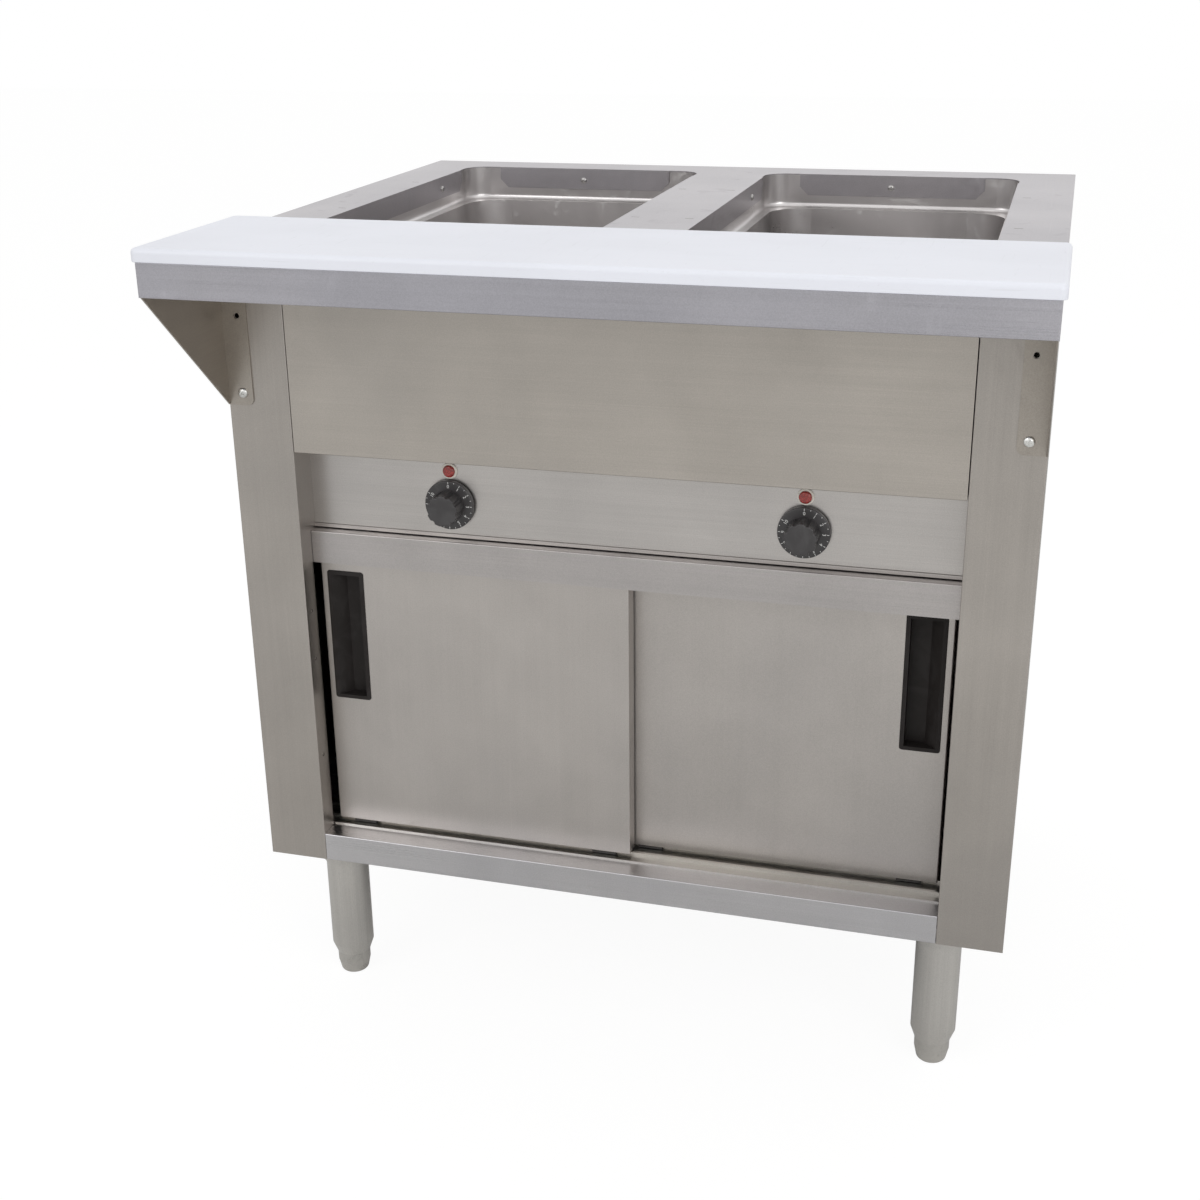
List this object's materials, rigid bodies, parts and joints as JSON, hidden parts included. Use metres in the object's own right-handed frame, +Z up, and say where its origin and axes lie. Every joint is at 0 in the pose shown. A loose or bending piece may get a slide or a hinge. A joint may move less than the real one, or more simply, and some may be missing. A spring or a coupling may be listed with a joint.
{
  "type": "steam table",
  "caption": "Electric steam table: sunken hot wells in a steel top, a cutting board on a bracketed front shelf, control knobs, sliding cabinet doors and screwed feet.",
  "frame": {"origin": "on the floor, under the middle of the outer box", "axes": "+Z up, +X to the right seen from the front, -Y towards the cook at the cutting board"},
  "size_m": [0.815, 0.778, 0.8763],
  "materials": {
    "stainless": "brushed along the sheet",
    "track": "drawn, satin",
    "housing": "galvanised",
    "element": "dull sheath",
    "zinc": "zinc plated",
    "board": "fine matte",
    "charcoal": "moulded, satin",
    "nylon": "plain",
    "brass": "cast and turned",
    "lever": "dipped",
    "foot": "turned",
    "control_body": "plain grey",
    "bezel": "moulded",
    "lens": "clear tinted"
  },
  "bodies": {
    "table": {"back_panel": "stainless", "base_shelf": "stainless", "board_shelf": "stainless", "bracket_screws": "zinc", "control_panel": "stainless", "cord_gland": "charcoal", "door_header": "stainless", "drain_pipe": "brass", "front_apron": "stainless", "front_left_leg": "stainless", "front_left_leg_socket": "zinc", "front_right_leg": "stainless", "front_right_leg_socket": "zinc", "left_drain_fitting": "stainless", "left_heating_element": "element", "left_leg_channel": "stainless", "left_pilot_bezel": "bezel", "left_pilot_lens": "lens", "left_shelf_bracket": "stainless", "left_side_casing": "stainless", "left_thermostat": "control_body", "left_well_housing": "housing", "left_well_pan": "stainless", "left_well_screws": "zinc", "lower_door_track": "track", "rear_left_leg": "stainless", "rear_left_leg_socket": "zinc", "rear_right_leg": "stainless", "rear_right_leg_socket": "zinc", "right_drain_fitting": "stainless", "right_heating_element": "element", "right_leg_channel": "stainless", "right_pilot_bezel": "bezel", "right_pilot_lens": "lens", "right_shelf_bracket": "stainless", "right_side_casing": "stainless", "right_thermostat": "control_body", "right_well_housing": "housing", "right_well_pan": "stainless", "right_well_screws": "zinc", "supply_box": "control_body", "table_top": "stainless", "upper_door_track": "track"},
    "left_door": {"left_door_panel": "stainless", "left_door_handle": "charcoal", "left_door_glides": "nylon"},
    "right_door": {"right_door_panel": "stainless", "right_door_handle": "charcoal", "right_door_glides": "nylon"},
    "left_control": {"left_knob": "charcoal", "left_knob_shaft": "zinc"},
    "right_control": {"right_knob": "charcoal", "right_knob_shaft": "zinc"},
    "board": {"cutting_board": "board", "board_dowels": "board"},
    "drain_handle": {"drain_lever": "lever"},
    "front_left_foot_screw": {"front_left_foot": "foot"},
    "front_right_foot_screw": {"front_right_foot": "foot"},
    "rear_left_foot_screw": {"rear_left_foot": "foot"},
    "rear_right_foot_screw": {"rear_right_foot": "foot"}
  },
  "joints": [
    {"name": "left_door_slide", "type": "slide", "parent": "table", "child": "left_door", "axis": [1, 0, 0], "range_m": [0, 0.318]},
    {"name": "right_door_slide", "type": "slide", "parent": "table", "child": "right_door", "axis": [-1, 0, 0], "range_m": [0, 0.318]},
    {"name": "left_knob_turn", "type": "hinge", "parent": "table", "child": "left_control", "pos_m": [-0.182, -0.202, 0.594], "axis": [0, 1, 0], "range_deg": [0, 300]},
    {"name": "right_knob_turn", "type": "hinge", "parent": "table", "child": "right_control", "pos_m": [0.182, -0.202, 0.594], "axis": [0, 1, 0], "range_deg": [0, 300]},
    {"name": "board_lift", "type": "slide", "parent": "table", "child": "board", "axis": [0, 0, 1], "range_m": [0, 0.12]},
    {"name": "drain_lever_turn", "type": "hinge", "parent": "table", "child": "drain_handle", "pos_m": [0, 0.11, 0.579], "axis": [0, 1, 0], "range_deg": [0, 90]},
    {"name": "front_left_foot_level", "type": "slide", "parent": "table", "child": "front_left_foot_screw", "axis": [0, 0, -1], "range_m": [0, 0.025]},
    {"name": "front_right_foot_level", "type": "slide", "parent": "table", "child": "front_right_foot_screw", "axis": [0, 0, -1], "range_m": [0, 0.025]},
    {"name": "rear_left_foot_level", "type": "slide", "parent": "table", "child": "rear_left_foot_screw", "axis": [0, 0, -1], "range_m": [0, 0.025]},
    {"name": "rear_right_foot_level", "type": "slide", "parent": "table", "child": "rear_right_foot_screw", "axis": [0, 0, -1], "range_m": [0, 0.025]}
  ]
}
